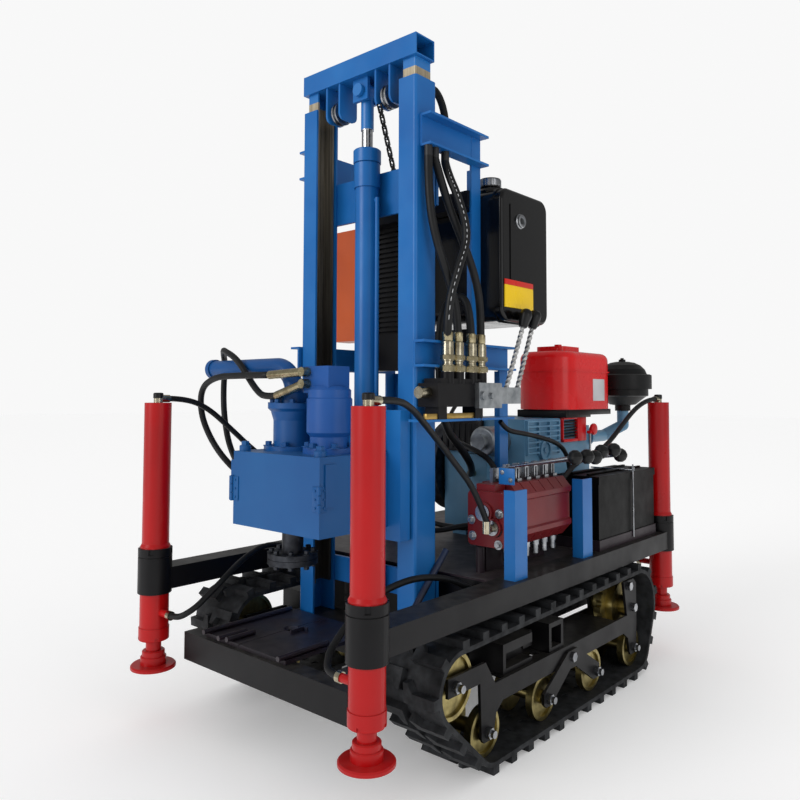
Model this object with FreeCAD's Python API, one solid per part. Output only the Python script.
"""Small crawler drilling rig for water wells, at its real size in millimetres.

Z is up from the ground, X runs across the machine and Y from front to back.
While the pieces are made, Y counts back from the line of the front legs and X from the mast's middle.
The last lines move the origin to the middle of the ground the machine covers.
"""
import FreeCAD
import Part
import math
import os

V = FreeCAD.Vector
os.makedirs("parts", exist_ok=True)

# Fits that several pieces share
rod_gap = 0.3            # round rod in its bore, on the radius
slide_gap = 5.0          # between profiles that slide in each other
turn_gap = 0.3           # between faces that turn past each other

# Legs: hydraulic outriggers in sleeves at the ends of the side beams
leg_x = 504.0
leg_span = 1864.0        # front legs to rear legs
leg_tube_r = 45.0
leg_top = 1077.0
sleeve_r = 56.5
sleeve_under = 11.0      # sleeve below the side beam
sleeve_over = 67.0       # sleeve above it
ring_height = 26.0       # notched nut on top of a sleeve
bead = 5.0               # weld bead round the tube where it leaves the sleeve
barrel_r = 48.0
barrel_bottom = 275.0
collar_r = 50.5
collar_height = 42.0
leg_rod_r = 25.5
leg_stroke = 450.0
rod_guide = 60.0         # rod still in the barrel at full stroke
pad_r = 74.5
pad_thick = 12.0
pad_top = 193.0
pad_hub_r = 42.5
pad_hub_height = 46.0
port_rise = 95.0         # lower oil port above the barrel's bottom
port_r = 12.0
port_out = 90.0          # its end from the leg's axis
plug_r = 15.0            # steel fitting on top of a leg
plug_height = 24.0
stub_r = 13.0
hose_stub = 42.0

# Upper frame: side beams, cross beams and deck
beam_w = 91.0
beam_bottom = 443.0
beam_top = 516.0
deck_thick = 6.0
deck_front = 600.0
deck_rear = leg_span - 44.0
riser_w = 60.0
riser_y = (600.0, leg_span - 324.0)

# Lower frame between the tracks
rail_x = 280.0
rail_w = 60.0
rail_bottom = 222.0
rail_top = 312.0
front_beam_y = 45.0
front_beam_half = 388.0
front_beam_depth = 60.0
rail_rear = leg_span - 84.0
tail_beam_depth = 60.0

# Mast: fixed outer channels, inner channels that slide in them, crosshead on top
lift_head_top = 1984.0
rod_showing = 72.0       # chromed rod between the lift cylinder and its eye
eye_length = 137.0
pin_drop = 46.0          # pin below the crosshead
post_drop = 69.0         # mast posts' top below the crosshead
sheave_drop = 94.0
lift_eye_bottom = lift_head_top + rod_showing
pin_z = lift_eye_bottom + eye_length
cross_bottom = pin_z + pin_drop
mast_top = cross_bottom - post_drop
mast_front = 454.0
mast_depth = 109.0
mast_half = 279.0
channel_w = 75.0
channel_wall = 8.0
channel_corner = 11.0
mast_beam_front = 440.0
mast_beam_rear = 580.0
inner_w = 54.0
inner_bottom = 420.0
cross_height = 72.0
cross_depth = 98.0
cross_wall = 5.0
tie_rows = ((1750.0, 158.0), (420.0, 90.0))   # bottom and height of each mast tie
tie_thick = 12.0

# Lift cylinder between the mast channels, and what it lifts
lift_y = 514.0
lift_r = 42.0
lift_head_r = 50.0
lift_head_length = 139.0
lift_head_bottom = lift_head_top - lift_head_length
lift_pipe_r = 8.0
lift_rod_r = 20.0
lift_eye_r = 23.0
lift_stroke = 800.0
pin_r = 16.0
lug_half = 24.0
eye_gap = 0.4            # rod's eye to each lug
lug_thick = 14.0
lug_w = 72.0
pin_edge = 36.0          # lug below its pin
pin_head = 14.0
sheave_x = mast_half - 156.0
sheave_r = 42.0
sheave_w = 22.0
sheave_z = cross_bottom - sheave_drop
sheave_reach = 88.0      # sheave plates from the crosshead's front face back
bracket_gap = 58.0
bracket_t = 8.0
bracket_drop = 35.0      # sheave plates below the sheave's axle
bracket_bottom = sheave_z - bracket_drop

# Carriage with gearbox, hydraulic motor, water swivel and spindle
box_half = mast_half - 71.0
box_front = 104.0
box_back = 402.0
box_bottom = 683.0
box_top = 921.0
slide_half = mast_half - 18.0
slide_bottom = 641.0
slide_top = 1057.0
arm_x = mast_half - 111.0
arm_thick = 28.0
wheel_w = 36.0
wheel_rows = (700.0, 998.0)
drill_x = -115.0
drill_y = 281.0
motor_x = 88.0
motor_y = 255.0
motor_r = 73.0
motor_neck_r = 62.0
motor_flange_r = 84.0
motor_top = 1133.0
port_block = (116.0, 92.0, 84.0)
swivel_r = 78.0
swivel_base_r = 100.0
swivel_waist = 69.0
swivel_top = 1080.0
swivel_rim_r = 88.0
swivel_rim = 18.0
neck_r = 58.0
neck_top = 1112.0
water_pipe_r = 32.0
water_bend = 90.0
water_end_x = -590.0
spindle_neck_r = 27.0
hub_r = 36.0
hub_height = 64.0
flange_r = 84.0
flange_thick = 18.0
flange_bottom = 542.0
bolt_circle = 70.0
bolt_count = 8
bolt_hole_r = 7.0
spindle_bore_r = 25.0

# Drill table in front of the mast
table_left = -290.0
table_right = 110.0
table_front = 65.0
table_thick = 12.0
guide_hole_r = 28.0
split_w = 3.0
bar_r = 8.0
bars = (                 # x, start y, length of each loose bar on the table
    (-278.0, 45.0, 370.0),
    (-190.0, 40.0, 110.0),
    (-160.0, 50.0, 110.0),
    (98.0, 45.0, 200.0),
)

# Tracks
belt_outer_x = 570.0
belt_w = 230.0
belt_thick = 14.0
tread_height = 22.0
tread_pitch = 96.0
tread_w = 30.0
tread_hook = 26.0
tread_share = 0.47       # length of a tread bar as a share of the belt's width
guide_height = 22.0
guide_w = 18.0
idler_r = 96.0
idler_y = 320.0
idler_z = 287.0
sprocket_r = 136.0
sprocket_y = leg_span - 374.0
sprocket_z = 265.0
roller_r = 74.0
roller_first = 480.0
roller_count = 4
roller_step = (sprocket_y - 2 - roller_first) / (roller_count - 1)
disc_w = 24.0
disc_rim = 12.0
disc_dish = 9.0
roller_hub_r = 22.0
axle_r = 11.0
nut_r = 17.0
nut_h = 14.0
side_in = 30.0           # track frame's outer face from the belt's edge
frame_plate = 10.0
shelf_top = 242.0
rocker_plate = 9.0

# Oil tank, cooler and the stand that carries them behind the mast
stand_flange = 46.0
stand_wall = 8.0
upper_rail_z = (1930.0, 2040.0)
lower_rail_z = (1197.0, 1285.0)
upper_rail_front = 476.0
lower_rail_front = 442.0
upper_rail_rear = 809.0
lower_rail_rear = 983.0
post_w = 55.0
carrier_z = ((1200.0, 140.0), (1776.0, 62.0))   # bottom and height of the beams that carry the tank
tank_right = mast_half + 99.0
tank_left = tank_right - 440.0
tank_depth = 318.0
tank_bottom = 1372.0
tank_top = 1852.0
tank_round = 46.0
tank_seam = 34.0         # seam flange from the tank's right end
tank_cap_x = 282.0
cooler_left = -480.0
cooler_plate_right = -343.0
cooler_depth = 96.0
cooler_bottom = 1331.0
cooler_top = 1800.0
fin_pitch = 20.0
fin_gap = 9.0

# Engine group
engine_left = -150.0
engine_right = 250.0
engine_front = 1160.0
engine_rear = 1660.0
engine_bottom = 560.0
engine_top = 1010.0
head_length = 120.0
fuel_left = 30.0
fuel_right = 295.0
fuel_front = 1410.0
fuel_rear = 1880.0
fuel_bottom = 1046.0
fuel_top = 1298.0
fuel_seam = fuel_bottom + 0.66 * (fuel_top - fuel_bottom)
fuel_corner = 100.0      # its corners seen from above
filter_x = 263.0
filter_y = 2025.0
filter_r = 135.0
filter_neck_r = 36.0
filter_bottom = 1034.0
filter_top = 1288.0
intake_r = 27.0
intake_z = 915.0
flywheel_r = 200.0
flywheel_w = 62.0
shaft_r = 20.0
shaft_y = 1300.0
shaft_z = 800.0
alternator_x = 126.0
alternator_r = 60.0
alternator_z = 922.0
alternator_length = 118.0

# Six-section valve on the deck, with its levers
bank_inner = 343.0
bank_outer = 487.0
bank_front = 660.0
bank_rear = 1095.0
bank_bottom = 600.0
bank_top = 810.0
bank_cap = 74.0          # length of its end cap
section_count = 6
section_cut = 4.0
spool_x = 422.0
guard_corner = 530.0     # outer face of the two angle posts beside it
guard_leg = (42.0, 72.0)
guard_t = 8.0
guard_top = 800.0
guard_front = 649.0
guard_rear = 1101.0
lever_out = 674.0
lever_z = 904.0
lever_r = 5.0
knob_r = 24.0
knob_shifts = (          # each knob further out and up, as the levers stand in the photo
    (7.0, 5.0),
    (17.0, 5.0),
    (15.0, -1.0),
    (8.0, 14.0),
    (24.0, 17.0),
    (19.0, -4.0),
)
rack_height = 62.0

# Two-section valve on a shelf beside the mast
upper_inner = mast_half + 6.0
upper_outer = upper_inner + 83.0
upper_front = 460.0
upper_rear = 745.0
upper_bottom = 1068.0
upper_top = 1160.0
coupling_r = 20.0
coupling_x = upper_outer - 21.0
coupling_top = 1280.0
couplings = (            # x, y of each hose coupling on the valve
    (coupling_x, 536.0),
    (coupling_x, 592.0),
    (coupling_x, 666.0),
    (coupling_x, 722.0),
)
lever_rows = ((826.0, 893.0), (898.0, 956.0))   # foot and knob of each lever, in Y
upper_lever_out = 40.0   # knobs further out than the levers' feet
upper_lever_top = 1350.0
bulb_r = 23.0
bulb_height = 68.0
shelf_outer = mast_half + 73.0
shelf_front = 420.0
shelf_rear = lower_rail_rear - post_w
shelf_z = 1028.0
shelf_thick = 8.0

# Battery on the deck
battery_inner = 340.0
battery_outer = 516.0
battery_rear = leg_span - 94.0
battery_front = guard_rear + 0.23 * (battery_rear - guard_rear)
battery_height = 276.0
lid_height = 30.0
lid_over = 4.0
tray_t = 4.0
tray_lip = 40.0

# Hoses: their radii, where they are held, and their routes from end to end
leg_hose_r = 10.0
motor_hose_r = 11.5
feed_r = 14.0
hook_x = mast_half + 24.0
hook_z = 1895.0
hook_ups = (490.0, 525.0, 580.0)
inner_ports = ((760.0, 660.0), (1040.0, 645.0))
post_port_y = 503.0
post_ports = (640.0, 596.0)
motor_hose_a = (
    (-152.0, 205.0, 1172.0), (-340.0, 204.0, 1173.0), (-470.0, 206.0, 1170.0), (-575.0, 218.0, 1130.0),
    (-612.0, 244.0, 1030.0), (-574.0, 268.0, 930.0), (-502.0, 290.0, 850.0), (-438.0, 350.0, 775.0),
    (-398.0, 425.0, 705.0), (-356.0, 480.0, 655.0), (-309.0, 503.0, 640.0),
)
motor_hose_b = (
    (-114.0, 205.0, 1103.0), (-182.0, 208.0, 1098.0), (-238.0, 220.0, 1118.0), (-300.0, 231.0, 1162.0),
    (-354.0, 236.0, 1212.0), (-405.0, 238.0, 1246.0), (-462.0, 247.0, 1264.0),
    (-530.0, 282.0, 1276.0), (-604.0, 346.0, 1222.0), (-628.0, 356.0, 1120.0), (-610.0, 350.0, 1010.0),
    (-566.0, 345.0, 900.0), (-506.0, 366.0, 800.0), (-446.0, 412.0, 710.0), (-382.0, 470.0, 628.0),
    (-309.0, 503.0, 596.0),
)
feed_hoses = {
    "feed_hose_1": ((coupling_x, 536.0, coupling_top), (358.0, 520.0, 1390.0), (376.0, 560.0, 1530.0),
                    (378.0, 612.0, 1640.0), (366.0, 572.0, 1760.0), (325.0, 566.0, 1850.0),
                    (303.0, 580.0, 1895.0)),
    "feed_hose_2": ((coupling_x, 722.0, coupling_top), (347.0, 726.0, 1400.0), (341.0, 700.0, 1520.0),
                    (334.0, 630.0, 1640.0), (322.0, 560.0, 1760.0), (303.0, 525.0, 1895.0)),
    "feed_hose_3": ((coupling_x, 592.0, coupling_top), (344.0, 596.0, 1380.0), (334.0, 555.0, 1500.0),
                    (318.0, 510.0, 1620.0), (306.0, 487.0, 1760.0), (303.0, 490.0, 1895.0)),
    "return_hose": ((coupling_x, 666.0, coupling_top), (345.0, 668.0, 1370.0), (316.0, 668.0, 1450.0),
                    (252.0, 662.0, 1440.0), (222.0, 655.0, 1360.0), (218.0, 655.0, 1250.0),
                    (216.0, 660.0, 1110.0), (210.0, 700.0, 990.0), (202.0, 800.0, 915.0),
                    (174.0, 900.0, 852.0), (120.0, 985.0, 806.0), (68.0, 1040.0, 792.0),
                    (45.0, 1076.0, 790.0)),
}
leg_hoses = {
    "leg_hose_front_right": ((504.0, 42.0, 1091.4), (503.0, 110.0, 1093.0), (476.0, 200.0, 1072.0),
                             (436.0, 300.0, 1030.0), (412.0, 400.0, 970.0), (414.0, 490.0, 890.0),
                             (434.0, 570.0, 800.0), (443.0, 616.0, 700.0)),
    "leg_hose_front_left": ((-504.0, 42.0, 1091.4), (-505.0, 115.0, 1090.0), (-500.0, 200.0, 1056.0),
                            (-480.0, 280.0, 985.0), (-458.0, 370.0, 900.0), (-440.0, 480.0, 820.0),
                            (-400.0, 600.0, 740.0), (-300.0, 690.0, 660.0), (-170.0, 730.0, 610.0),
                            (-20.0, 745.0, 600.0), (130.0, 755.0, 612.0), (240.0, 760.0, 644.0),
                            (325.0, 760.0, 660.0)),
    "leg_hose_rear_right": ((504.0, 1822.0, 1091.4), (502.0, 1755.0, 1088.0), (474.0, 1690.0, 1052.0),
                            (444.0, 1630.0, 985.0), (420.0, 1550.0, 910.0), (408.0, 1440.0, 862.0),
                            (403.0, 1320.0, 850.0), (400.0, 1210.0, 800.0), (400.0, 1115.0, 740.0)),
    "leg_hose_rear_left": ((-504.0, 1822.0, 1091.4), (-502.0, 1750.0, 1086.0), (-484.0, 1660.0, 1040.0),
                           (-458.0, 1560.0, 950.0), (-430.0, 1450.0, 850.0), (-400.0, 1330.0, 750.0),
                           (-360.0, 1200.0, 670.0), (-290.0, 1100.0, 610.0), (-170.0, 1048.0, 580.0),
                           (-20.0, 1034.0, 572.0), (130.0, 1034.0, 584.0), (250.0, 1040.0, 622.0),
                           (325.0, 1040.0, 645.0)),
}
lower_lines = (          # right-hand ones, the left side has their mirror images
    ((398.0, 0.0, 370.0), (352.0, 4.0, 374.0), (320.0, 40.0, 402.0), (312.0, 120.0, 462.0),
     (328.0, 230.0, 528.0), (362.0, 350.0, 556.0), (392.0, 470.0, 540.0), (400.0, 600.0, 478.0)),
    ((398.0, 1864.0, 370.0), (352.0, 1860.0, 374.0), (320.0, 1820.0, 392.0), (328.0, 1740.0, 424.0),
     (362.0, 1670.0, 456.0), (400.0, 1600.0, 478.0)),
)

parts = {}
fittings, levers, knobs = [], [], []

def box(x0, x1, y0, y1, z0, z1):
    """Block between two corners."""
    return Part.makeBox(x1 - x0, y1 - y0, z1 - z0, V(x0, y0, z0))


def rod_x(x0, x1, y, z, r):
    return Part.makeCylinder(r, x1 - x0, V(x0, y, z), V(1, 0, 0))


def rod_y(x, y0, y1, z, r):
    return Part.makeCylinder(r, y1 - y0, V(x, y0, z), V(0, 1, 0))


def rod_z(x, y, z0, z1, r):
    return Part.makeCylinder(r, z1 - z0, V(x, y, z0), V(0, 0, 1))


def bar(start, end, r):
    """Round bar between two points."""
    a, b = V(*start), V(*end)
    return Part.makeCylinder(r, (b - a).Length, a, b - a)


def nut(x0, x1, y, z, r):
    """Hexagon along X."""
    corners = [V(x0, y + r * math.cos(math.pi / 3 * i), z + r * math.sin(math.pi / 3 * i)) for i in range(6)]
    return Part.Face(Part.makePolygon(corners + corners[:1])).extrude(V(x1 - x0, 0, 0))


def outline_x(points, x0, x1):
    """Flat outline of (y, z) points, made thick from x0 to x1."""
    corners = [V(x0, y, z) for y, z in points]
    return Part.Face(Part.makePolygon(corners + corners[:1])).extrude(V(x1 - x0, 0, 0))


def outline_y(points, y0, y1):
    """Flat outline of (x, z) points, made thick from y0 to y1."""
    corners = [V(x, y0, z) for x, z in points]
    return Part.Face(Part.makePolygon(corners + corners[:1])).extrude(V(0, y1 - y0, 0))


def turned(x, y, rows):
    """Solid of revolution about a vertical axis, rows of (radius, height) going up."""
    points = [V(0, 0, rows[0][1])]
    points += [V(r, 0, z) for r, z in rows]
    points += [V(0, 0, rows[-1][1]), V(0, 0, rows[0][1])]
    solid = Part.Face(Part.makePolygon(points)).revolve(V(0, 0, 0), V(0, 0, 1), 360)
    solid.translate(V(x, y, 0))
    return solid


def fused(shapes):
    """One solid from pieces that touch or overlap."""
    first, rest = shapes[0], shapes[1:]
    return first.multiFuse(rest).removeSplitter() if rest else first


def group(shapes):
    """Several solids that share a node."""
    return Part.makeCompound(shapes)


def mirrored(shape):
    return shape.mirror(V(0, 0, 0), V(1, 0, 0))


def pair(*shapes):
    """Solids of the right-hand side together with their mirror images."""
    return group([s for shape in shapes for s in (shape, mirrored(shape))])


def both_sides(name, shape):
    """The right-hand piece as modelled and its mirror image on the left."""
    parts[name + "_right"] = shape
    parts[name + "_left"] = mirrored(shape)


# Legs and frame

sleeve_bottom = beam_bottom - sleeve_under
sleeve_top = beam_top + sleeve_over
bore_top = barrel_bottom + rod_guide + leg_stroke + 20
port_z = barrel_bottom + port_rise


def side_beam():
    """Side beam with the two leg sleeves welded to its ends."""
    pieces = [box(leg_x - beam_w / 2, leg_x + beam_w / 2, 0, leg_span, beam_bottom, beam_top)]
    for y in (0, leg_span):
        pieces.append(rod_z(leg_x, y, sleeve_bottom, sleeve_top, sleeve_r))
    beam = fused(pieces)
    cuts = []
    for y in (0, leg_span):
        cuts.append(rod_z(leg_x, y, sleeve_bottom, sleeve_top, leg_tube_r))
        groove = rod_z(leg_x, y, sleeve_top - ring_height - 4, sleeve_top - ring_height, sleeve_r + 1)
        cuts.append(groove.cut(rod_z(leg_x, y, sleeve_bottom, sleeve_top, sleeve_r - 3)))
        for turn in range(4):
            notch = box(sleeve_r - 5, sleeve_r + 1, -8, 8, sleeve_top - ring_height + 6, sleeve_top)
            notch.rotate(V(0, 0, 0), V(0, 0, 1), 45 + 90 * turn)
            notch.translate(V(leg_x, y, 0))
            cuts.append(notch)
    return beam.cut(cuts)


def leg_barrel(y):
    """Outrigger barrel, bored for its rod, with its lower oil port."""
    barrel = turned(leg_x, y, (
        (collar_r - 2, barrel_bottom), (collar_r, barrel_bottom + 2),
        (collar_r, barrel_bottom + collar_height), (barrel_r, barrel_bottom + collar_height),
        (barrel_r, sleeve_bottom), (leg_tube_r, sleeve_bottom), (leg_tube_r, sleeve_top),
        (leg_tube_r + bead, sleeve_top), (leg_tube_r + bead, sleeve_top + bead),
        (leg_tube_r, sleeve_top + 3 * bead), (leg_tube_r, leg_top),
    ))
    barrel = barrel.fuse(rod_x(leg_x - port_out, leg_x, y, port_z, port_r))
    cuts = [rod_z(leg_x, y, barrel_bottom, bore_top, leg_rod_r + rod_gap)]
    for turn in range(4):
        notch = box(collar_r - 4, collar_r + 1, -6, 6, barrel_bottom, barrel_bottom + 12)
        notch.rotate(V(0, 0, 0), V(0, 0, 1), 20 + 90 * turn)
        notch.translate(V(leg_x, y, 0))
        cuts.append(notch)
    return barrel.cut(cuts)


def leg_foot(x, y):
    """Rod, stepped hub and round pad of one outrigger."""
    step = pad_top + pad_hub_height * 0.6
    return turned(x, y, (
        (pad_r, pad_top - pad_thick), (pad_r, pad_top - 4), (pad_r - 4, pad_top), (pad_hub_r, pad_top),
        (pad_hub_r, step - 3), (pad_hub_r - 3, step), (pad_hub_r - 5, step),
        (pad_hub_r - 5, pad_top + pad_hub_height - 3), (pad_hub_r - 8, pad_top + pad_hub_height),
        (leg_rod_r, pad_top + pad_hub_height), (leg_rod_r, barrel_bottom + rod_guide + leg_stroke),
    ))


def frame():
    parts["side_beams"] = pair(side_beam())
    parts["leg_barrels"] = pair(leg_barrel(0), leg_barrel(leg_span))
    for side, x in (("right", leg_x), ("left", -leg_x)):
        for end, y in (("front", 0), ("rear", leg_span)):
            parts["leg_foot_" + end + "_" + side] = leg_foot(x, y)
    front_beam_rear = front_beam_y + front_beam_depth
    front_beam = box(-front_beam_half, front_beam_half, front_beam_y, front_beam_rear, rail_bottom, rail_top)
    rail = box(rail_x - rail_w / 2, rail_x + rail_w / 2, front_beam_rear, rail_rear, rail_bottom, rail_top)
    parts["base_frame"] = group([front_beam, rail, mirrored(rail)])
    inner = leg_x - beam_w / 2
    rail_in = rail_x - rail_w / 2
    cross = [box(-rail_in, rail_in, mast_beam_front, mast_beam_rear, rail_bottom, rail_top),
             box(-rail_in, rail_in, rail_rear - tail_beam_depth, rail_rear, rail_bottom, rail_top)]
    for y in riser_y:
        riser = box(rail_in, rail_in + riser_w, y, y + riser_w, rail_top, beam_bottom)
        cross += [riser, mirrored(riser)]
        cross.append(box(-inner, inner, y, y + riser_w, beam_bottom, beam_top - deck_thick))
    parts["cross_beams"] = group(cross)


def deck():
    """Deck plate with the battery's tray and the foot under the six-section valve."""
    inner = leg_x - beam_w / 2
    plate = box(-inner, inner, deck_front, deck_rear, beam_top - deck_thick, beam_top)
    over = lid_over + 1
    tray = box(battery_inner - over, battery_outer + over, battery_front - over, battery_rear + over,
               beam_top, beam_top + tray_lip)
    pocket = box(battery_inner - 1, battery_outer + 1, battery_front - 1, battery_rear + 1,
                 beam_top + tray_t, beam_top + tray_lip)
    foot = box(bank_inner, bank_inner + 40, bank_front + 40, bank_rear - 20, beam_top, bank_bottom)
    strut = bar(((bank_inner + spool_x) / 2 - 12, bank_front + 24, beam_top),
                ((bank_inner + spool_x) / 2 - 12, bank_front + 24, bank_bottom), 15)
    parts["deck"] = fused([plate, tray.cut(pocket), foot, strut])


def drill_table():
    """Split plate with the guide hole for the drill pipe, and loose bars lying on it."""
    top = rail_top + table_thick
    table = box(table_left, table_right, table_front, mast_beam_front, rail_top, top)
    groove = box(drill_x - split_w / 2, drill_x + split_w / 2, table_front, mast_beam_front,
                 rail_top + table_thick / 2, top)
    table = table.cut([rod_z(drill_x, drill_y, rail_top, top, guide_hole_r), groove])
    handle = fused([box(drill_x + 40, drill_x + 46, drill_y - 42, drill_y + 12, top, top + 12),
                    box(drill_x + 40, drill_x + 62, drill_y + 12, drill_y + 18, top, top + 12)])
    loose = [rod_y(x, y, y + length, top + bar_r, bar_r) for x, y, length in bars]
    lean_x = mast_half + bar_r + 3
    lean = bar((lean_x, 330, rail_top + 15), (lean_x, 600, 590), bar_r + 3)
    parts["drill_table"] = group([fused([table, handle])] + loose + [lean])


# Mast

def channel(x_open, x_web, y0, y1, z0, z1, corner):
    """Bent channel with its web at x_web and its mouth at x_open."""
    outer = box(x_open, x_web, y0, y1, z0, z1)
    bends = [e for e in outer.Edges
             if e.BoundBox.XMin > x_web - 0.01 and e.BoundBox.ZLength > z1 - z0 - 0.01]
    outer = outer.makeFillet(corner, bends)
    return outer.cut(box(x_open - 1, x_web - channel_wall, y0 + channel_wall, y1 - channel_wall, z0, z1))


inner_web = mast_half - channel_wall - slide_gap
inner_front = mast_front + channel_wall + slide_gap
inner_rear = mast_front + mast_depth - channel_wall - slide_gap
mast_rear = mast_front + mast_depth


def mast():
    """Fixed outer channels, the ties behind them and the lift cylinder."""
    parts["mast_posts"] = pair(channel(mast_half - channel_w, mast_half, mast_front, mast_rear,
                                       rail_top, mast_top, channel_corner))
    parts["mast_ties"] = group([box(-mast_half, mast_half, mast_rear, mast_rear + tie_thick, z, z + h)
                                for z, h in tie_rows])
    ring = lift_head_bottom + 0.65 * (lift_head_top - lift_head_bottom)
    barrel = turned(0, lift_y, (
        (lift_r, rail_top), (lift_r, lift_head_bottom), (lift_head_r - 3, lift_head_bottom),
        (lift_head_r - 3, ring - 4), (lift_head_r - 7, ring - 4), (lift_head_r - 7, ring), (lift_head_r, ring),
        (lift_head_r, lift_head_top - 4), (lift_head_r - 4, lift_head_top),
    ))
    bore_bottom = lift_eye_bottom - lift_stroke - rod_guide - 100
    barrel = barrel.cut(rod_z(0, lift_y, bore_bottom, lift_head_top, lift_rod_r + rod_gap))
    pipe_x = lift_r + lift_pipe_r
    pipe = rod_z(pipe_x, lift_y, rail_top, lift_head_bottom - 40, lift_pipe_r)
    feed = rod_x(lift_r - 4, pipe_x, lift_y, lift_head_bottom - 48, lift_pipe_r)
    parts["lift_cylinder"] = fused([barrel, pipe, feed])


def inner_mast():
    """Sliding part of the mast: channels, crosshead, sheaves and the cylinder's rod."""
    parts["inner_channels"] = pair(channel(inner_web - inner_w, inner_web, inner_front, inner_rear,
                                           inner_bottom, cross_bottom, channel_wall * 0.75))
    beam = box(-mast_half, mast_half, mast_front, mast_front + cross_depth, cross_bottom,
               cross_bottom + cross_height)
    hollow = box(-mast_half - 1, mast_half + 1, mast_front + cross_wall,
                 mast_front + cross_depth - cross_wall, cross_bottom + cross_wall,
                 cross_bottom + cross_height - cross_wall)
    pieces = [beam.cut(hollow)]
    sheave_y = mast_front + 5 + sheave_reach / 2
    for x in (-sheave_x, sheave_x):
        for x0 in (x - bracket_gap / 2 - bracket_t, x + bracket_gap / 2):
            plate = box(x0, x0 + bracket_t, mast_front + 5, mast_front + 5 + sheave_reach,
                        bracket_bottom, cross_bottom)
            lower = [e for e in plate.Edges if e.BoundBox.ZMax < bracket_bottom + 0.1
                     and e.BoundBox.XLength > bracket_t - 0.1]
            pieces.append(plate.makeFillet(24, lower))
    for y0 in (lift_y - lug_half - lug_thick, lift_y + lug_half):
        pieces.append(box(-lug_w / 2, lug_w / 2, y0, y0 + lug_thick, pin_z - pin_edge, cross_bottom))
    front = lift_y - lug_half - lug_thick
    pin = rod_y(0, front - 2, lift_y + lug_half + lug_thick + 8, pin_z, pin_r)
    head = rod_y(0, front - 2 - pin_head, front - 2, pin_z, pin_r + 6)
    parts["crosshead"] = fused(pieces).cut(pin)
    parts["lift_rod"] = fused([
        rod_y(0, lift_y - lug_half + eye_gap, lift_y + lug_half - eye_gap, pin_z, 34),
        rod_z(0, lift_y, lift_eye_bottom, pin_z - pin_r - 6, lift_eye_r),
        rod_z(0, lift_y, lift_eye_bottom - lift_stroke - rod_guide, lift_eye_bottom, lift_rod_r),
        pin,
        head,
    ])
    wheels = []
    for x in (-sheave_x, sheave_x):
        wheel = rod_x(x - sheave_w / 2, x + sheave_w / 2, sheave_y, sheave_z, sheave_r)
        groove = rod_x(x - 5, x + 5, sheave_y, sheave_z, sheave_r)
        groove = groove.cut(rod_x(x - 5, x + 5, sheave_y, sheave_z, sheave_r - 8))
        hub = rod_x(x - bracket_gap / 2, x + bracket_gap / 2, sheave_y, sheave_z, 13)
        wheels.append(fused([wheel.cut(groove), hub]))
    parts["sheaves"] = group(wheels)


# Carriage that slides on the mast

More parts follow.
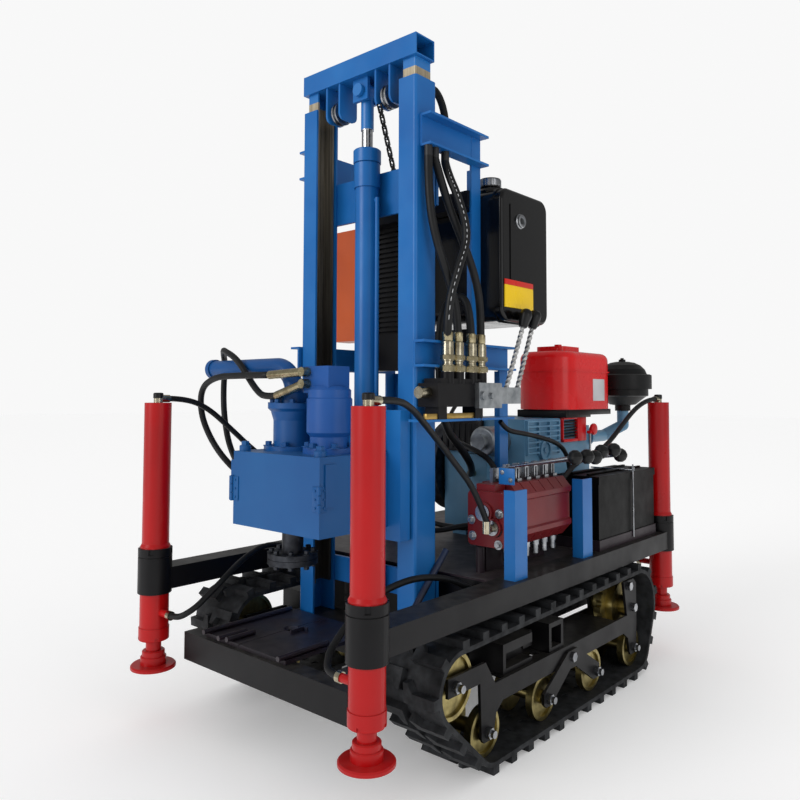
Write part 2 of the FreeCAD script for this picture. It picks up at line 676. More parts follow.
def carriage():
    """Gearbox on a slide plate with guide wheels in the inner channels, motor and swivel on top."""
    body = box(-box_half, box_half, box_front, box_back, box_bottom, box_top)
    tabs = [box(-box_half - 14, -box_half, box_front, box_front + 12, box_bottom + 110, box_top - 30),
            box(box_half, box_half + 5, box_front + 20, box_front + 62, box_bottom + 90, box_top - 22)]
    parts["gearbox"] = fused([body] + tabs)
    slide_back = mast_front - slide_gap
    pieces = [box(-slide_half, slide_half, box_back, slide_back - 20, slide_bottom, slide_top)]
    wheel_y = (inner_front + inner_rear) / 2
    wheel_r = (inner_rear - inner_front) / 2 - channel_wall - rod_gap
    wheel_in = arm_x + arm_thick + 20
    for side in (-1, 1):
        x0, x1 = sorted((side * (box_half + 4), side * slide_half))
        pieces.append(box(x0, x1, slide_back - 20, slide_back, slide_bottom, slide_top))
        x0, x1 = sorted((side * arm_x, side * (arm_x + arm_thick)))
        pieces.append(box(x0, x1, slide_back - 20, wheel_y + 22, wheel_rows[0] - 30, wheel_rows[1] + 30))
        for z in wheel_rows:
            w0, w1 = sorted((side * (arm_x + arm_thick), side * wheel_in))
            pieces.append(rod_x(w0, w1, wheel_y, z, 12))
            w0, w1 = sorted((side * wheel_in, side * (wheel_in + wheel_w)))
            pieces.append(rod_x(w0, w1, wheel_y, z, wheel_r))
    parts["carriage"] = fused(pieces)

    motor = turned(motor_x, motor_y, (
        (motor_flange_r, box_top), (motor_flange_r, box_top + 18), (motor_neck_r, box_top + 18),
        (motor_neck_r, box_top + 52), (motor_r, box_top + 66), (motor_r, motor_top - 40),
        (motor_r - 4, motor_top - 36), (motor_r - 4, motor_top - 12), (motor_r - 18, motor_top),
    ))
    w, d, h = port_block
    block_x = motor_x + motor_r - w - 30
    block = box(block_x, block_x + w, motor_y - d / 2, motor_y + d / 2, motor_top - 20, motor_top - 20 + h)
    parts["drill_motor"] = fused([motor, block])

    body = turned(drill_x, drill_y, (
        (swivel_base_r, box_top), (swivel_base_r, box_top + 14), (swivel_waist, box_top + 14),
        (swivel_waist, swivel_top - 60), (swivel_r, swivel_top - 30), (swivel_rim_r, swivel_top - 20),
        (swivel_rim_r, swivel_top - 20 + swivel_rim), (neck_r, swivel_top - 20 + swivel_rim), (neck_r, neck_top),
    ))
    pipe_z = neck_top + water_bend
    start = V(drill_x, drill_y, neck_top)
    turn = V(drill_x - water_bend, drill_y, pipe_z)
    share = math.sqrt(0.5)
    mid = V(drill_x - water_bend * (1 - share), drill_y, neck_top + water_bend * share)
    end = V(water_end_x, drill_y, pipe_z)
    path = Part.Wire([Part.Arc(start, mid, turn).toShape(), Part.LineSegment(turn, end).toShape()])
    ring = Part.Wire([Part.makeCircle(water_pipe_r, start, V(0, 0, 1))])
    pipe = path.makePipeShell([ring], True, False)
    lip = rod_x(water_end_x, water_end_x + 20, drill_y, pipe_z, water_pipe_r + 5)
    hole = rod_x(water_end_x, water_end_x + 60, drill_y, pipe_z, water_pipe_r - 8)
    parts["water_swivel"] = fused([body, pipe, lip]).cut(hole)

    z1 = flange_bottom + flange_thick
    z2 = z1 + flange_thick
    z3 = z2 + hub_height
    spindle = turned(drill_x, drill_y, (
        (flange_r, flange_bottom), (flange_r, z1 - 1), (flange_r - 3, z1 - 1), (flange_r - 3, z1 + 1),
        (flange_r, z1 + 1), (flange_r, z2), (hub_r, z2), (hub_r, z3), (spindle_neck_r, z3),
        (spindle_neck_r, box_bottom - turn_gap),
    ))
    cuts = [rod_z(drill_x, drill_y, flange_bottom, z2, spindle_bore_r)]
    for i in range(bolt_count):
        a = 2 * math.pi * i / bolt_count
        cuts.append(rod_z(drill_x + bolt_circle * math.cos(a), drill_y + bolt_circle * math.sin(a),
                          flange_bottom, z2, bolt_hole_r))
    parts["spindle"] = spindle.cut(cuts)


# Tracks

belt_inner_x = belt_outer_x - belt_w
ground = tread_height + belt_thick + roller_r       # height of the ground rollers' axles
roller_last = roller_first + roller_step * (roller_count - 1)


def belt_path(offset):
    """Lines and arcs of the belt's outline, a distance out from its inner face."""
    circles = (          # centre y, centre z, radius of the belt's inner face round it
        (roller_first, ground, roller_r),
        (roller_last, ground, roller_r),
        (sprocket_y, sprocket_z, sprocket_r),
        (idler_y, idler_z, idler_r),
    )
    runs = []
    for i, (y0, z0, r0) in enumerate(circles):
        y1, z1, r1 = circles[(i + 1) % len(circles)]
        length = math.hypot(y1 - y0, z1 - z0)
        normal = math.atan2(z1 - z0, y1 - y0) - math.pi / 2 + math.asin((r0 - r1) / length)
        out = V(0, math.cos(normal), math.sin(normal))
        runs.append((V(0, y0, z0) + out * (r0 + offset), V(0, y1, z1) + out * (r1 + offset), normal))
    path = []
    for i, (a, b, normal) in enumerate(runs):
        path.append({"from": a, "to": b, "angle": normal, "length": (b - a).Length, "radius": 0})
        y1, z1, r1 = circles[(i + 1) % len(circles)]
        c, d, after = runs[(i + 1) % len(runs)]
        while after < normal:
            after += 2 * math.pi
        radius = r1 + offset
        path.append({"from": b, "to": c, "angle": normal, "length": (after - normal) * radius,
                     "radius": radius, "centre": V(0, y1, z1), "half": (normal + after) / 2})
    return path


def belt_wire(offset):
    edges = []
    for run in belt_path(offset):
        if run["radius"]:
            out = V(0, math.cos(run["half"]), math.sin(run["half"]))
            mid = run["centre"] + out * run["radius"]
            edges.append(Part.Arc(run["from"], mid, run["to"]).toShape())
        else:
            edges.append(Part.LineSegment(run["from"], run["to"]).toShape())
    return Part.Wire(edges)


def belt_stations(offset, pitch):
    """Places spread evenly round the belt, each with the angle that points out of it."""
    path = belt_path(offset)
    total = sum(run["length"] for run in path)
    count = 2 * round(total / pitch / 2)
    stations = []
    for i in range(count):
        s = total * i / count
        for run in path:
            if s < run["length"]:
                break
            s -= run["length"]
        if run["radius"]:
            angle = run["angle"] + s / run["radius"]
            point = run["centre"] + V(0, math.cos(angle), math.sin(angle)) * run["radius"]
        else:
            angle = run["angle"]
            point = run["from"] + (run["to"] - run["from"]) * (s / run["length"])
        stations.append((point, angle))
    return stations


def placed(shape, station):
    """A block made at the origin with Y outwards, set on the belt at a station."""
    point, angle = station
    moved = shape.copy()
    moved.rotate(V(0, 0, 0), V(1, 0, 0), math.degrees(angle))
    moved.translate(V(0, point.y, point.z))
    return moved


def tread_bar(x0, x1):
    """Rubber bar across half the belt, with a hook along the belt at its inner end (x1)."""
    turn = 1 if x1 > x0 else -1
    half = tread_w / 2
    points = ((x0, -half), (x0, half), (x1 - turn * tread_w, half), (x1 - turn * half, half + tread_hook),
              (x1, half + tread_hook), (x1, -half))
    corners = [V(x, -3, z * turn) for x, z in points]
    return Part.Face(Part.makePolygon(corners + corners[:1])).extrude(V(0, tread_height + 3, 0))


def track():
    """Rubber belt with staggered tread bars outside and guide blocks inside."""
    band = Part.Face([belt_wire(belt_thick), belt_wire(0)]).extrude(V(belt_w, 0, 0))
    band.translate(V(belt_inner_x, 0, 0))
    reach = belt_w * tread_share
    outer = tread_bar(belt_outer_x, belt_outer_x - reach)
    inner = tread_bar(belt_inner_x, belt_inner_x + reach)
    middle = belt_outer_x - belt_w / 2
    blocks = [placed(inner if i % 2 else outer, station)
              for i, station in enumerate(belt_stations(belt_thick, tread_pitch / 2))]
    for station in belt_stations(0, tread_pitch):
        for x in (middle - guide_w * 2, middle + guide_w):
            blocks.append(placed(box(x, x + guide_w, -guide_height, 3, -14, 14), station))
    return band.multiFuse(blocks).removeSplitter()


def dished_disc(x0, y, z, r, out):
    """Wheel disc of a roller, dished on its outer side (out is 1 towards +X)."""
    disc = rod_x(x0, x0 + disc_w, y, z, r)
    face = x0 + disc_w - disc_dish if out > 0 else x0
    dish = rod_x(face, face + disc_dish, y, z, r - disc_rim)
    return disc.cut(dish.cut(rod_x(face, face + disc_dish, y, z, roller_hub_r)))


def roller(y, z, r, x0, x1):
    """Two discs on a hub, bored for the axle."""
    wheel = fused([dished_disc(x0, y, z, r, -1), dished_disc(x1 - disc_w, y, z, r, 1),
                   rod_x(x0 + disc_w - 1, x1 - disc_w + 1, y, z, roller_hub_r)])
    return wheel.cut(rod_x(x0, x1, y, z, axle_r))


plate_out = belt_outer_x - side_in - frame_plate
plate_in = belt_inner_x + side_in + frame_plate


def track_wheels():
    wheels = [roller(roller_first + roller_step * i, ground, roller_r, plate_in, plate_out)
              for i in range(roller_count)]
    wheels.append(roller(idler_y, idler_z, idler_r, plate_in, plate_out))
    middle = (plate_in + plate_out) / 2
    disc = rod_x(middle - 12, middle + 12, sprocket_y, sprocket_z, sprocket_r)
    teeth = []
    count = round(2 * math.pi * sprocket_r / (tread_pitch / 2))
    for i in range(count):
        gap = rod_x(middle - 13, middle + 13, sprocket_y, sprocket_z + sprocket_r, 13)
        gap.rotate(V(0, sprocket_y, sprocket_z), V(1, 0, 0), 360 * i / count)
        teeth.append(gap)
    disc = disc.cut(teeth)
    drum = rod_x(middle - 40, middle + 40, sprocket_y, sprocket_z, 92)
    hub = rod_x(plate_in, plate_out, sprocket_y, sprocket_z, 40)
    wheels.append(fused([disc, drum, hub]).cut(rod_x(plate_in, plate_out, sprocket_y, sprocket_z, axle_r)))
    return group(wheels)


def frame_side(x0, x1):
    """Side plate of a track frame with feet at its end rollers."""
    low, foot = shelf_top - 62, 32
    front, rear = roller_first, roller_last
    arm_low, arm_top = idler_z - 26, idler_z + 28
    return outline_x((
        (idler_y - 32, arm_low), (idler_y - 32, arm_top), (front - 10, arm_top), (front + 40, shelf_top),
        (rear - 50, shelf_top), (sprocket_y - 80, sprocket_z + 110), (sprocket_y + 10, sprocket_z + 110),
        (sprocket_y + 34, sprocket_z + 90), (sprocket_y + 34, sprocket_z - 60), (rear + foot, ground + 30),
        (rear + foot, ground - 12), (rear + 20, ground - 26), (rear - 20, ground - 26),
        (rear - foot, ground - 12), (rear - foot - 12, low - 26), (rear - foot - 50, low),
        (front + foot + 50, low), (front + foot + 12, low - 26), (front + foot, ground - 12),
        (front + 20, ground - 26), (front - 20, ground - 26), (front - foot, ground - 12),
        (front - foot - 6, arm_low),
    ), x0, x1)


def track_frame():
    """Welded frame inside the belt with the rocker that carries the two middle rollers."""
    out = plate_out + frame_plate
    inside = plate_in - frame_plate
    pieces = [frame_side(plate_out, out), frame_side(inside, plate_in)]
    shelf = box(plate_in, plate_out, roller_first + 100, roller_last - 140, shelf_top - 8, shelf_top)
    slot = box(plate_in + 50, plate_out - 30, roller_first + 300, roller_first + 370, shelf_top - 8, shelf_top)
    pieces.append(shelf.cut(slot))
    slider = box(plate_in + 15, plate_out - 5, roller_first + 105, roller_first + 275, shelf_top, shelf_top + 92)
    pocket = box(plate_out - 45, plate_out, roller_first + 120, roller_first + 275, shelf_top + 16, shelf_top + 62)
    pieces.append(slider.cut(pocket))
    pieces.append(box(plate_in + 30, plate_out - 40, roller_first + 275, roller_first + 330,
                      shelf_top + 30, shelf_top + 80))
    holder = box(plate_in + 20, plate_out, roller_first + 375, roller_first + 470, shelf_top, shelf_top + 96)
    window = box(plate_in + 20, plate_out, roller_first + 390, roller_first + 455, shelf_top + 14, shelf_top + 80)
    pieces.append(holder.cut(window))
    first, last = roller_first + roller_step, roller_last - roller_step
    middle = (first + last) / 2
    rocker = ((middle - 32, shelf_top - 16), (middle + 32, shelf_top - 16), (last + 28, ground + 20),
              (last + 28, ground - 14), (last + 14, ground - 26), (last - 18, ground - 26),
              (middle + 20, ground + 56), (middle - 20, ground + 56), (first + 18, ground - 26),
              (first - 14, ground - 26), (first - 28, ground - 14), (first - 28, ground + 20))
    pieces.append(outline_x(rocker, out, out + rocker_plate))
    pieces.append(outline_x(rocker, inside - rocker_plate, inside))
    for y in (roller_first + 180, roller_last - 300):
        pieces.append(box(rail_x + rail_w / 2, inside, y - 35, y + 35, rail_bottom + 6, shelf_top))
    return fused(pieces)


def track_axles():
    """Steel axles of rollers, idler and sprocket with their nuts outside the frame."""
    out = plate_out + frame_plate
    inside = plate_in - frame_plate
    rows = [(idler_y, idler_z, out, 30), (sprocket_y, sprocket_z, out, 12)]   # y, z, face of its plate, length out
    for i in range(roller_count):
        held = out + rocker_plate if 0 < i < roller_count - 1 else out
        rows.append((roller_first + roller_step * i, ground, held, 26))
    pieces = []
    for y, z, face, length in rows:
        axle = [rod_x(inside, face + length, y, z, axle_r), nut(face, face + nut_h, y, z, nut_r)]
        pieces.append(fused(axle))
    first, last = roller_first + roller_step, roller_last - roller_step
    apex = (first + last) / 2
    pieces.append(nut(out + rocker_plate, out + rocker_plate + 8, apex, shelf_top - 40, nut_r))
    pieces.append(nut(out, out + nut_h, sprocket_y - 40, sprocket_z + 90, nut_r))
    return pieces


def undercarriage():
    both_sides("track", track())
    both_sides("track_wheels", track_wheels())
    axles = track_axles()
    bores = group(axles)
    both_sides("track_frame", track_frame().cut(bores))
    parts["track_axles"] = pair(*axles)


# Oil tank, cooler and their stand

def oil_system():
    rails, posts = [], []
    for (z0, z1), y0, y1 in ((upper_rail_z, upper_rail_front, upper_rail_rear),
                             (lower_rail_z, lower_rail_front, lower_rail_rear)):
        rail = box(mast_half, mast_half + stand_flange, y0, y1, z0, z1)
        mouth = box(mast_half + stand_wall, mast_half + stand_flange + 1, y0, y1, z0 + stand_wall, z1 - stand_wall)
        rails += [rail.cut(mouth), mirrored(rail.cut(mouth))]
    for y1, z0, z1 in ((upper_rail_rear, lower_rail_z[1], upper_rail_z[0]),
                       (lower_rail_rear, beam_top, lower_rail_z[0])):
        post = fused([box(mast_half + stand_wall - post_w, mast_half + stand_wall, y1 - stand_wall, y1, z0, z1),
                      box(mast_half, mast_half + stand_wall, y1 - post_w, y1, z0, z1)])
        posts += [post, mirrored(post)]
    parts["stand"] = group(rails + posts)
    front = upper_rail_rear
    half = mast_half
    parts["tank_carrier"] = group([box(-half, half, front - stand_wall - 60, front - stand_wall, z, z + h)
                                   for z, h in carrier_z]
                                  + [box(x, x + 40, front - stand_wall, front, z + 20, z + h)
                                     for z, h in carrier_z for x in (-200, 120)])

    tank = box(tank_left, tank_right, front, front + tank_depth, tank_bottom, tank_top)
    long_edges = [e for e in tank.Edges if e.BoundBox.XLength > 1]
    tank = tank.makeFillet(tank_round, long_edges)
    seam_x = tank_right - tank_seam
    seam = box(seam_x - 4, seam_x + 4, front, front + tank_depth + 6, tank_bottom - 6, tank_top + 6)
    seam = seam.makeFillet(tank_round, [e for e in seam.Edges if e.BoundBox.XLength > 1])
    end = [e for e in tank.Edges if e.BoundBox.XMin > tank_right - 0.1]
    tank = tank.makeFillet(12, end)
    panel = box(tank_right - 4, tank_right + 3, front + 54, front + 206, tank_top - 330, tank_top - 56)
    cap_y = front + 70
    cap = turned(tank_cap_x, cap_y, ((42, tank_top - 6), (42, tank_top + 10), (30, tank_top + 14),
                                     (30, tank_top + 20), (38, tank_top + 20), (38, tank_top + 52)))
    parts["oil_tank"] = fused([tank, seam, panel])
    fittings.append(cap.cut(parts["oil_tank"]))

    cooler = box(cooler_plate_right, tank_left - 12, front, front + cooler_depth, cooler_bottom, cooler_top)
    gaps = []
    z = cooler_bottom + 20
    while z < cooler_top - 30:
        gaps.append(box(cooler_plate_right + 14, tank_left - 26, front, front + 14, z, z + fin_gap))
        z += fin_pitch
    parts["oil_cooler"] = cooler.cut(gaps)
    parts["cooler_cover"] = box(cooler_left, cooler_plate_right, front, front + cooler_depth,
                                cooler_bottom, cooler_top)


# Engine group

def engine():
    """Engine as one block at its real place, with the forms that show on it."""
    block = box(engine_left, engine_right, engine_front, engine_rear, engine_bottom, engine_top)
    feet = [box(x, x + 70, engine_front + 30, engine_rear - 30, beam_top, engine_bottom)
            for x in (engine_left + 20, engine_right - 90)]
    head_rear = engine_rear + head_length
    head = box(engine_left + 60, engine_right - 40, engine_rear, head_rear, engine_bottom + 150, engine_top - 40)
    case = box(engine_left + 130, engine_left + 260, engine_front - 60, engine_front, 690, 866)
    case = case.makeFillet(22, [e for e in case.Edges if e.BoundBox.YLength > 1])
    ribs = [box(engine_right, engine_right + 12, engine_front + 6, engine_front + 262, z, z + 7)
            for z in range(872, 1000, 21)]
    posts = [box(engine_right, engine_right + 12, y, y + 7, 866, 1004)
             for y in (engine_front + 6, engine_front + 92, engine_front + 176, engine_front + 255)]
    cover = rod_x(engine_right, engine_right + 18, 1299, 883, 44)
    dish = rod_x(engine_right + 10, engine_right + 18, 1299, 883, 32)
    boss = rod_x(engine_right + 8, engine_right + 16, 1299, 883, 12)
    pieces = [block, head, case, cover.cut(dish), boss] + feet + ribs + posts
    window = box(engine_right - 30, engine_right, 1446, 1632, 926, 1000)
    slats = [box(engine_right - 24, engine_right - 4, 1446, 1632, z, z + 4) for z in range(936, 996, 12)]
    stub = rod_x(engine_left - flywheel_w - 14, engine_left, shaft_y, shaft_z, shaft_r)
    alternator_y = engine_front - alternator_length
    bracket = box(alternator_x - 20, alternator_x + 20, engine_front - 44, engine_front,
                  alternator_z - alternator_r - 20, alternator_z - alternator_r + 12)
    body = fused(pieces + [stub, bracket]).cut(window).fuse(slats).removeSplitter()
    alternator = rod_y(alternator_x, alternator_y, engine_front, alternator_z, alternator_r)
    rims = [e for e in alternator.Edges if e.BoundBox.YMax < alternator_y + 1]
    alternator = alternator.makeFillet(10, rims)
    pulley = rod_y(alternator_x, alternator_y - 26, alternator_y, alternator_z, 32)
    parts["alternator"] = fused([alternator, pulley])
    body = body.cut(parts["alternator"])

    way_x = engine_right - 60
    way_y = filter_y - 60
    low = intake_z
    bend = V(way_x, way_y, low)
    under = V(filter_x, filter_y, low + 50)
    intake = [
        bar((way_x, head_rear - 5, low), (way_x, way_y, low), intake_r),
        Part.makeSphere(intake_r, bend),
        bar((way_x, way_y, low), (filter_x, filter_y, low + 50), intake_r),
        Part.makeSphere(intake_r, under),
        bar((filter_x, filter_y, low + 50), (filter_x, filter_y, filter_bottom), intake_r),
        rod_y(way_x, head_rear, head_rear + 12, low, intake_r + 14),
    ]
    parts["engine"] = fused([body] + intake)

    wheel = rod_x(engine_left - 6 - flywheel_w, engine_left - 6, shaft_y, shaft_z, flywheel_r)
    dish = rod_x(engine_left - 6 - flywheel_w, engine_left - 20 - flywheel_w / 2, shaft_y, shaft_z, flywheel_r - 42)
    dish = dish.cut(rod_x(engine_left - 6 - flywheel_w, engine_left, shaft_y, shaft_z, shaft_r * 2.4))
    bore = rod_x(engine_left - 10 - flywheel_w, engine_left, shaft_y, shaft_z, shaft_r + 0.05)
    parts["flywheel"] = wheel.cut([dish, bore])


def fuel_system():
    tank = box(fuel_left, fuel_right, fuel_front, fuel_rear, fuel_bottom, fuel_top)
    tank = tank.makeFillet(fuel_corner, [e for e in tank.Edges if e.BoundBox.ZLength > 1])
    tank = tank.makeFillet(34, [e for e in tank.Edges if e.BoundBox.ZMin > fuel_top - 0.1])
    seam = box(fuel_left - 6, fuel_right + 6, fuel_front - 6, fuel_rear + 6, fuel_seam - 3, fuel_seam + 3)
    seam = seam.makeFillet(fuel_corner + 6, [e for e in seam.Edges if e.BoundBox.ZLength > 1])
    mid_x, mid_y = (fuel_left + fuel_right) / 2, (fuel_front + fuel_rear) / 2 - 60
    pad = box(mid_x - 70, mid_x + 70, mid_y - 85, mid_y + 85, fuel_top - 1, fuel_top + 24)
    pad = pad.makeFillet(30, [e for e in pad.Edges if e.BoundBox.ZLength > 1])
    cap = rod_z(mid_x, mid_y, fuel_top + 23, fuel_top + 36, 16)
    legs = [box(x, x + 30, y, y + 60, engine_top, fuel_bottom)
            for x in (fuel_left + 40, fuel_right - 80) for y in (fuel_front + 30, engine_rear - 70)]
    parts["fuel_tank"] = fused([tank, seam, pad, cap] + legs)
    z = filter_bottom
    parts["air_filter"] = turned(filter_x, filter_y, (
        (filter_neck_r, z), (filter_neck_r, z + 26), (filter_r - 75, z + 30), (filter_r - 27, z + 68),
        (filter_r - 16, z + 72), (filter_r - 16, z + 103), (filter_r, z + 104), (filter_r, z + 170),
        (filter_r - 8, z + 174), (filter_r - 21, z + 175), (filter_r - 31, z + 198), (filter_r - 51, z + 218),
        (filter_r - 79, z + 231), (filter_r - 105, z + 236), (16, z + 236), (16, z + 246), (8, z + 248),
        (8, filter_top),
    ))


# Valves, levers and battery

def valve_bank():
    """Six-section valve: ribbed castings between two end caps."""
    low, high = bank_bottom, bank_top
    section = ((bank_inner, low), (bank_outer - 36, low), (bank_outer, low + 40), (bank_outer, low + 56),
               (bank_outer - 8, low + 62), (bank_outer - 8, high - 58), (bank_outer, high - 52),
               (bank_outer, high - 36), (bank_outer - 32, high), (bank_inner, high))
    body = outline_y(section, bank_front + bank_cap, bank_rear)
    cuts = []
    width = (bank_rear - bank_front - bank_cap) / section_count
    spools = [bank_front + bank_cap + width * (i + 0.5) for i in range(section_count)]
    for i in range(section_count + 1):
        y = bank_front + bank_cap + width * i
        cuts.append(box(bank_inner, bank_outer + 1, y - section_cut / 2, y + section_cut / 2, high - 34, high + 1))
        cuts.append(box(bank_outer - 26, bank_outer + 1, y - section_cut / 2, y + section_cut / 2, low - 1, low + 30))
    body = body.cut(cuts)
    cap = box(bank_inner - 6, bank_outer - 4, bank_front, bank_front + bank_cap, low + 8, high - 22)
    cap = cap.makeFillet(16, [e for e in cap.Edges if e.BoundBox.YLength > 1])
    crown = box(bank_inner + 20, bank_outer - 50, bank_front + 14, bank_front + bank_cap, high - 23, high)
    bosses = [rod_y(x, bank_front - 10, bank_front, z, r)
              for x, z, r in ((bank_inner + 62, high - 90, 34), (bank_inner + 100, high - 136, 30))]
    parts["valve_bank"] = fused([body, cap, crown] + bosses)
    plugs = [rod_y(x, bank_front - 16, bank_front - 10, z, r)
             for x, z, r in ((bank_inner + 62, high - 90, 27), (bank_inner + 100, high - 136, 24))]
    linkage = []
    for y, (out, rise) in zip(spools, knob_shifts):
        linkage.append(turned(spool_x, y, ((10, low - 55), (13, low - 52), (13, low - 22), (16, low - 22), (16, low))))
        foot = box(spool_x - 16, spool_x + 16, y - 13, y + 13, high, high + 10)
        yoke = box(spool_x - 7, spool_x + 7, y - 11, y - 5, high + 10, high + rack_height)
        twin = box(spool_x - 7, spool_x + 7, y + 5, y + 11, high + 10, high + rack_height)
        pin_height = high + rack_height - 10
        eye = box(spool_x - 8, spool_x + 8, y - 5, y + 5, pin_height - 8, pin_height + 8)
        heads = [rod_y(spool_x, y0, y0 + 3, pin_height, 5) for y0 in (y - 14, y + 11)]
        start = V(spool_x + 3, y, pin_height)
        end = V(lever_out + out, y, lever_z + rise)
        lever = bar(tuple(start), tuple(end - (end - start).normalize() * (knob_r - 2)), lever_r)
        linkage.append(fused([foot, yoke, twin, eye, lever] + heads))
        z = lever_z + rise
        knobs.append(turned(lever_out + out, y, (
            (8, z - knob_r + 1), (knob_r * 0.75, z - knob_r * 0.68), (knob_r, z - 4), (knob_r, z + 4),
            (knob_r * 0.75, z + knob_r * 0.68), (8, z + knob_r - 1),
        )))
    rail = box(spool_x - 40, spool_x - 28, spools[0] - 40, spools[-1] + 30, high, high + rack_height - 14)
    levers.extend(linkage + plugs + [rail])


def guard_posts():
    """Angle posts in front of and behind the six-section valve."""
    wide, deep = guard_leg
    posts = []
    for y in (guard_front, guard_rear):
        posts.append(fused([
            box(guard_corner - wide, guard_corner, y, y + guard_t, beam_top, guard_top),
            box(guard_corner - guard_t, guard_corner, y, y + deep, beam_top, guard_top),
        ]))
    parts["guard_posts"] = group(posts)


def upper_valve():
    """Two-section valve for feed and rotation on its shelf, with two tall levers."""
    mid_x = (upper_inner + upper_outer) / 2
    pieces = [box(upper_inner, upper_outer, upper_front, upper_rear, upper_bottom, upper_top - 16)]
    for y in (upper_front + 24, upper_front + 140):
        pieces.append(box(upper_inner + 6, upper_outer - 6, y, y + 100, upper_top - 17, upper_top))
    pieces += [box(upper_inner + 14, upper_outer - 14, y, y + 44, shelf_z, upper_bottom)
               for y in (upper_front + 20, upper_rear - 64)]
    pieces += [rod_z(x, y, upper_top - 17, upper_top + 22, coupling_r + 1) for x, y in couplings]
    parts["upper_valve"] = fused(pieces)
    top = upper_top + 22
    fittings.extend(turned(x, y, (
        (coupling_r, top), (coupling_r, top + 24), (coupling_r - 3, top + 26), (coupling_r - 3, top + 34),
        (coupling_r, top + 36), (coupling_r, coupling_top),
    )) for x, y in couplings)
    fittings.append(rod_y(mid_x, upper_front - 48, upper_front, (upper_top + upper_bottom) / 2, 19))
    arm_in, arm_out = upper_outer - 14, upper_outer + 18
    arm_bottom, arm_top = upper_bottom - 6, upper_top - 26
    arm = fused([
        box(upper_outer, arm_out, upper_rear - 86, upper_rear + 50, arm_bottom, arm_top + 14),
        box(arm_in, arm_out, upper_rear, upper_rear + 170, arm_bottom + 14, arm_top),
    ])
    foot_x = (arm_in + arm_out) / 2
    arm = arm.cut([box(foot_x - 12, foot_x + 12, y - 10, y + 22, arm_bottom + 26, arm_top)
                   for y, top_y in lever_rows])
    screws = [rod_x(arm_out, arm_out + 8, y, arm_top - 30, r)
              for y, r in ((upper_rear - 62, 15), (upper_rear - 14, 11))]
    parts["lever_bracket"] = fused([arm] + screws)
    for y, top_y in lever_rows:
        start = V(foot_x, y, arm_bottom + 26)
        end = V(foot_x + upper_lever_out, top_y, upper_lever_top)
        along = (end - start).normalize()
        levers.append(bar(tuple(start + along * 3), tuple(end), lever_r))
        knob = turned(0, 0, ((bulb_r * 0.6, 0), (bulb_r * 0.72, 5), (bulb_r, bulb_height * 0.62),
                             (bulb_r, bulb_height * 0.72), (bulb_r * 0.8, bulb_height - 6),
                             (bulb_r * 0.45, bulb_height)))
        tilt = FreeCAD.Rotation(V(0, 0, 1), along)
        knob.Placement = FreeCAD.Placement(end - along, tilt)
        knobs.append(knob)
    parts["valve_shelf"] = box(mast_half, shelf_outer, shelf_front, shelf_rear, shelf_z - shelf_thick, shelf_z)


def battery():
    top = beam_top + tray_t + battery_height
    case = box(battery_inner, battery_outer, battery_front, battery_rear, beam_top + tray_t, top - lid_height)
    lid = box(battery_inner - lid_over, battery_outer + lid_over, battery_front - lid_over,
              battery_rear + lid_over, top - lid_height, top)
    parts["battery"] = fused([case, lid])


# Fittings and hoses

def leg_fittings():
    """Hose elbow on top of each leg and the nut at its lower port."""
    for x in (-leg_x, leg_x):
        inward = -1 if x > 0 else 1
        for y in (0, leg_span):
            back = 1 if y == 0 else -1
            z = leg_top + plug_height * 0.6
            y0, y1 = sorted((y, y + back * hose_stub))
            fittings.append(fused([rod_z(x, y, leg_top, leg_top + plug_height, plug_r),
                                   rod_y(x, y0, y1, z, stub_r)]))
            end = x + inward * port_out
            x0, x1 = sorted((end, end + inward * 16))
            fittings.append(rod_x(x0, x1, y, port_z, 15))


def hose_fittings():
    """Ends for the hoses on the stand, the valves and the mast."""
    for y in hook_ups:
        fittings.append(rod_z(hook_x, y, hook_z, upper_rail_z[0], feed_r))
    for y, z in inner_ports:
        fittings.append(rod_x(bank_inner - 18, bank_inner, y, z, leg_hose_r + 3))
    x, z = bank_inner + 100, bank_top - 136
    fittings.append(fused([rod_y(x, bank_front - 44, bank_front - 16, z, leg_hose_r + 3),
                           rod_z(x, bank_front - 44, z - 13, z + 26, leg_hose_r + 3)]))
    fittings.append(rod_y(bank_inner + 57, bank_rear, bank_rear + 20, 740, leg_hose_r + 3))
    for z in post_ports:
        fittings.append(rod_x(-mast_half - 30, -mast_half, post_port_y, z, motor_hose_r + 3))
    case_x = engine_left + 195
    fittings.append(rod_y(case_x, engine_front - 84, engine_front - 60, 790, feed_r))


def motor_fittings():
    """Swivelling hose ends in the rotation motor's port block."""
    block_left = motor_x + motor_r - port_block[0] - 30
    front = motor_y - port_block[1] / 2
    ends = []
    for (x, y, z), face_z in ((motor_hose_a[0], motor_top + 46), (motor_hose_b[0], motor_top + 8)):
        bolt = (block_left + 20, front - 12, face_z)
        ends.append(fused([rod_y(bolt[0], front - 30, front, face_z, 15),
                           bar((bolt[0], front - 16, face_z), (x, y, z), motor_hose_r + 3)]))
    parts["motor_fittings"] = group([end.cut(parts["drill_motor"]) for end in ends])


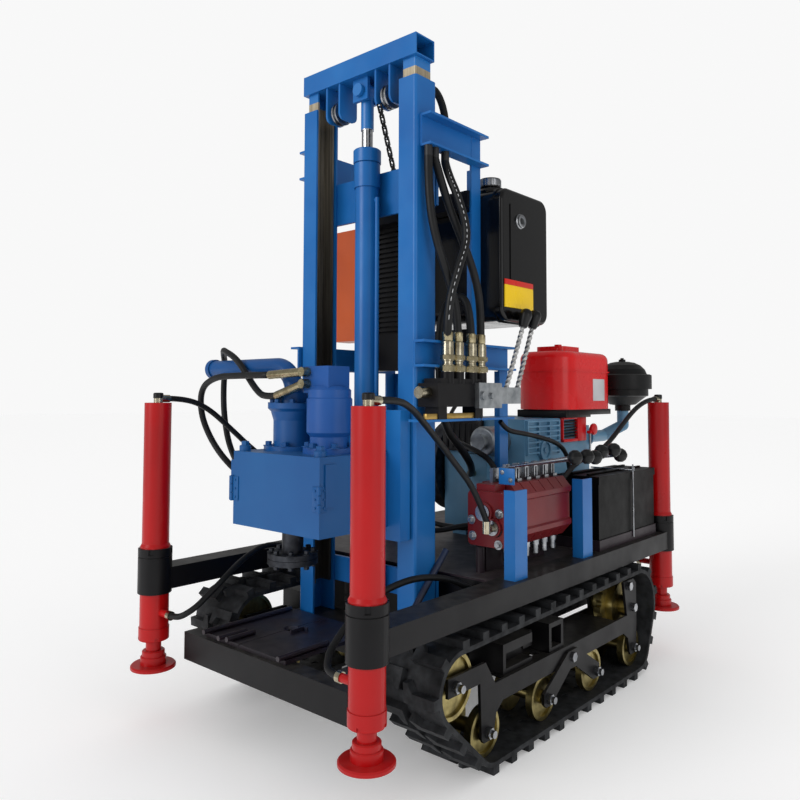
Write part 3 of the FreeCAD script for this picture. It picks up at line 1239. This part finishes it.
def hose_path(points, radius):
    """Straight runs through the points, rounded by arcs that touch them."""
    corners = [V(*p) for p in points]
    edges = []
    start = corners[0]
    radii = []
    for before, corner, after in zip(corners, corners[1:], corners[2:]):
        a, b = (before - corner).normalize(), (after - corner).normalize()
        half_turn = (math.pi - a.getAngle(b)) / 2
        cut = 0.45 * min((before - corner).Length, (after - corner).Length)
        arc_r = cut / math.tan(half_turn)
        radii.append(arc_r)
        middle = (a + b).normalize()
        centre = corner + middle * (arc_r / math.cos(half_turn))
        first, last = corner + a * cut, corner + b * cut
        edges.append(Part.LineSegment(start, first).toShape())
        edges.append(Part.Arc(first, centre - middle * arc_r, last).toShape())
        start = last
    edges.append(Part.LineSegment(start, corners[-1]).toShape())
    return Part.Wire(edges), min(radii)


def hose(name, points, radius):
    """Plain tube of a hose along its route."""
    path, tightest = hose_path(points, radius)
    start = V(*points[0])
    along = (V(*points[1]) - start).normalize()
    ring = Part.Wire([Part.makeCircle(radius, start, along)])
    tube = path.makePipeShell([ring], True, False)
    expected = math.pi * radius * radius * path.Length
    print(name, "length", round(path.Length), "tightest", round(tightest), "volume", round(tube.Volume / expected, 4))
    return tube


def stretched(points, axis, first, last):
    """Route stretched along one axis, so that its ends lie at first and last."""
    share = (last - first) / (points[-1][axis] - points[0][axis])
    moved = [list(point) for point in points]
    for point in moved:
        point[axis] = first + (point[axis] - points[0][axis]) * share
    return moved


def hoses():
    held = fittings + parts["cross_beams"].Solids
    for name, points in (("motor_hose_a", motor_hose_a), ("motor_hose_b", motor_hose_b)):
        points = stretched(points, 0, points[0][0], -mast_half - 30)
        parts[name] = hose(name, points, motor_hose_r).cut(held + parts["motor_fittings"].Solids)
    for name, points in feed_hoses.items():
        points = stretched(points, 0, coupling_x, engine_left + 195 if name == "return_hose" else hook_x)
        parts[name] = hose(name, points, feed_r).cut(held)
    for name, points in leg_hoses.items():
        if "rear" in name:
            points = stretched(points, 1, leg_span - hose_stub, points[-1][1])
        parts[name] = hose(name, points, leg_hose_r).cut(held)
    lines = []
    front_line, rear_line = lower_lines
    for points in (front_line, stretched(rear_line, 1, leg_span, rear_line[-1][1])):
        lines.append(hose("lower line", points, leg_hose_r).cut(held))
        lines.append(mirrored(lines[-1]))
    parts["lower_leg_lines"] = group(lines)


frame()
deck()
drill_table()
mast()
inner_mast()
carriage()
undercarriage()
oil_system()
engine()
fuel_system()
valve_bank()
guard_posts()
upper_valve()
battery()
leg_fittings()
hose_fittings()
motor_fittings()
hoses()
parts["levers"] = group(levers)
parts["fittings"] = group(fittings)
parts["lever_knobs"] = group([knob.cut(parts["levers"]) for knob in knobs])

# The origin lies on the ground, in the middle of the rectangle that the machine covers. Hoses don't count.
boxes = [shape.BoundBox for name, shape in parts.items() if "hose" not in name]
middle_x = round((min(b.XMin for b in boxes) + max(b.XMax for b in boxes)) / 2)
middle_y = round((min(b.YMin for b in boxes) + max(b.YMax for b in boxes)) / 2)
print("middle", middle_x, middle_y)
for name, shape in parts.items():
    shape.translate(V(-middle_x, -middle_y, 0))
    shape.exportStep("parts/" + name + ".step")
    print(name, len(shape.Solids), shape.isValid())
